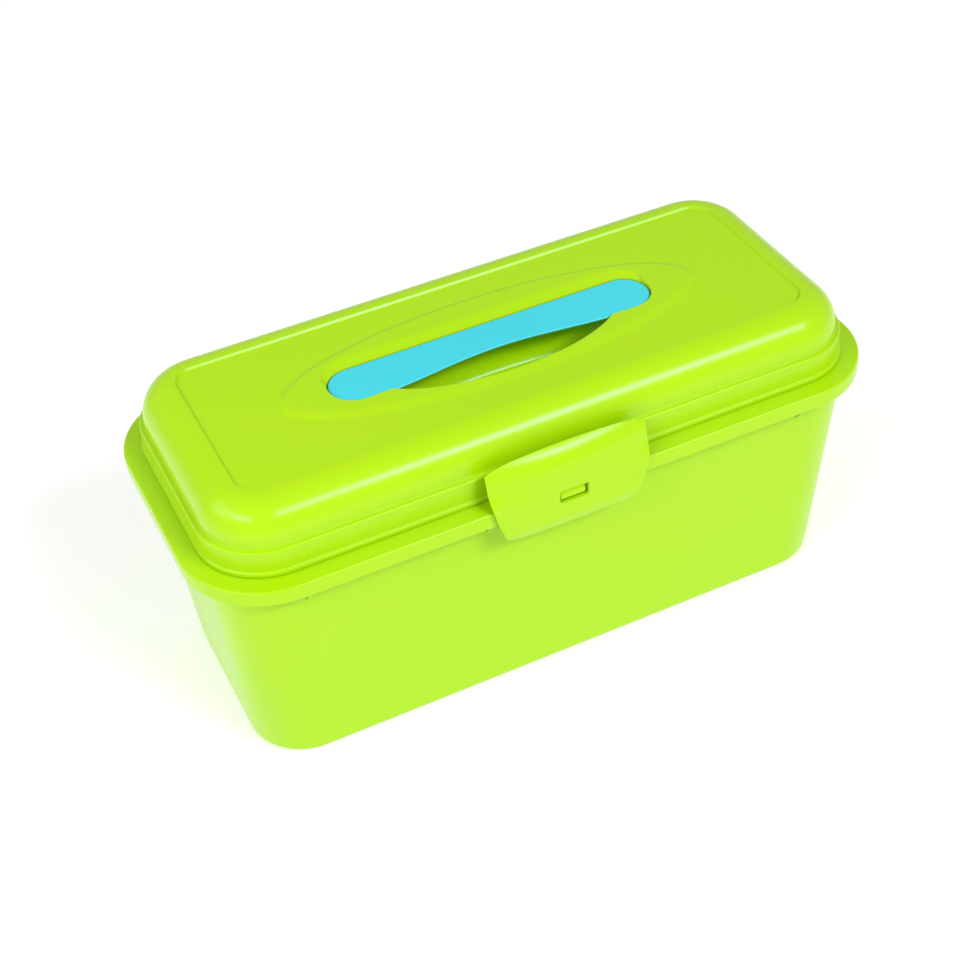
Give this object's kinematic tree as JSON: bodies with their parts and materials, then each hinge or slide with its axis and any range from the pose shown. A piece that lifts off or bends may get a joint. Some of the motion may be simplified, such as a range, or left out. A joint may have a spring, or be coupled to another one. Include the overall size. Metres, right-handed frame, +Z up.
{
  "type": "sewing box with trays",
  "caption": "Lidded sewing box with a front latch, a lift-up strap handle, a hinged domed lid and sliding divided trays.",
  "frame": {"origin": "centre of the underside, on the surface that the box stands on", "axes": "+X along the box, -Y towards the latch at the front, +Z up"},
  "size_m": [0.3232, 0.1592, 0.1477],
  "materials": {
    "body_plastic": "glossy lime green moulded plastic",
    "accent_plastic": "glossy cyan moulded plastic",
    "divider_plastic": "natural frosted moulded plastic",
    "pin_steel": "drawn steel wire"
  },
  "bodies": {
    "base_body": {"base_tub": "body_plastic", "base_divider_left": "divider_plastic", "base_divider_right": "divider_plastic", "hinge_pin_left": "pin_steel", "hinge_pin_right": "pin_steel"},
    "lid_body": {"lid_shell": "body_plastic", "latch_pin": "pin_steel"},
    "handle_body": {"handle_strap": "accent_plastic"},
    "latch_body": {"latch": "body_plastic"},
    "upper_tray_body": {"upper_tray": "accent_plastic", "upper_tray_divider_1": "divider_plastic", "upper_tray_divider_2": "divider_plastic", "upper_tray_divider_3": "divider_plastic"},
    "lower_tray_body": {"lower_tray": "accent_plastic", "lower_tray_divider_1": "divider_plastic", "lower_tray_divider_2": "divider_plastic"}
  },
  "joints": [
    {"name": "lid_hinge", "type": "hinge", "parent": "base_body", "child": "lid_body", "pos_m": [0, 0.0796, 0.1173], "axis": [-1, 0, 0], "range_deg": [0, 105]},
    {"name": "latch_hinge", "type": "hinge", "parent": "lid_body", "child": "latch_body", "pos_m": [-0.001, -0.0702, 0.131], "axis": [-1, 0, 0], "range_deg": [0, 80]},
    {"name": "handle_lift", "type": "slide", "parent": "lid_body", "child": "handle_body", "axis": [0, 0, 1], "range_m": [0, 0.014]},
    {"name": "upper_tray_slide", "type": "slide", "parent": "base_body", "child": "upper_tray_body", "axis": [1, 0, 0], "range_m": [0, 0.15]},
    {"name": "lower_tray_slide", "type": "slide", "parent": "base_body", "child": "lower_tray_body", "axis": [-1, 0, 0], "range_m": [0, 0.146]}
  ]
}
